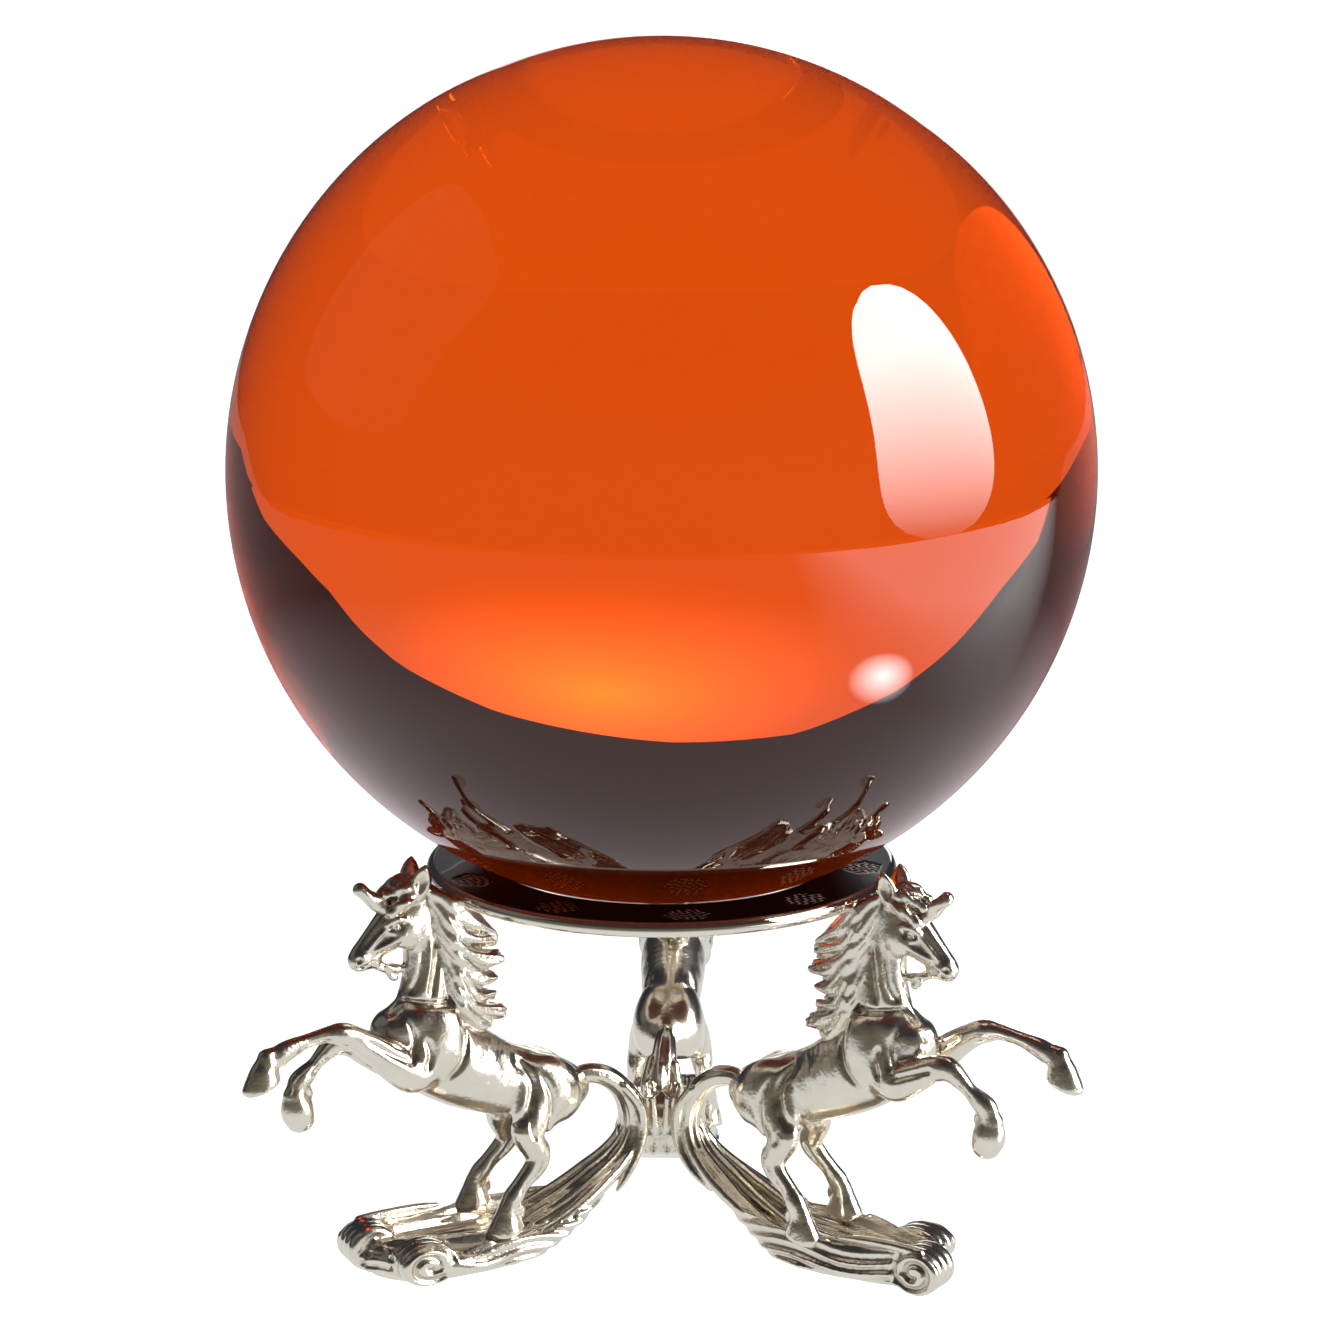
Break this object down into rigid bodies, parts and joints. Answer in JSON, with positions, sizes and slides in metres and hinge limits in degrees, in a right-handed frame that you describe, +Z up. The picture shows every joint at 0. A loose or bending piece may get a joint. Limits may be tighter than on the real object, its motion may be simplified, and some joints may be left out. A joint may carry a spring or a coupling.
{
  "type": "crystal ball",
  "caption": "Solid amber glass ball resting in a metal ring that rearing unicorns carry on their necks; their tails meet at a hub and run out into wave-shaped feet.",
  "frame": {"origin": "the point of the resting surface straight under the ball's centre, on the axis that the ball, the ring and the hub share", "axes": "+Z up along that axis; -Y is the front, between the front_left and front_right unicorns; the rear unicorn faces +Y; +X is to the right seen from the front"},
  "size_m": [0.11, 0.1141, 0.1555],
  "materials": {
    "amber_glass": "polished solid glass, transparent amber orange",
    "plated_ring": "mirror-polished silver plating with hammered patches",
    "plated_casting": "bright warm silver plating over a fine cast surface"
  },
  "bodies": {
    "stand": {"cradle_ring": "plated_ring", "centre_hub": "plated_casting", "unicorn_front_left": "plated_casting", "unicorn_front_right": "plated_casting", "unicorn_rear": "plated_casting", "horn_front_left": "plated_casting", "horn_front_right": "plated_casting", "horn_rear": "plated_casting", "tail_and_foot_front_left": "plated_casting", "tail_and_foot_front_right": "plated_casting", "tail_and_foot_rear": "plated_casting"},
    "ball": {"crystal_ball": "amber_glass"}
  },
  "joints": [
    {"name": "ball_lift", "type": "slide", "parent": "stand", "child": "ball", "axis": [0, 0, 1], "range_m": [0, 0.08]}
  ]
}
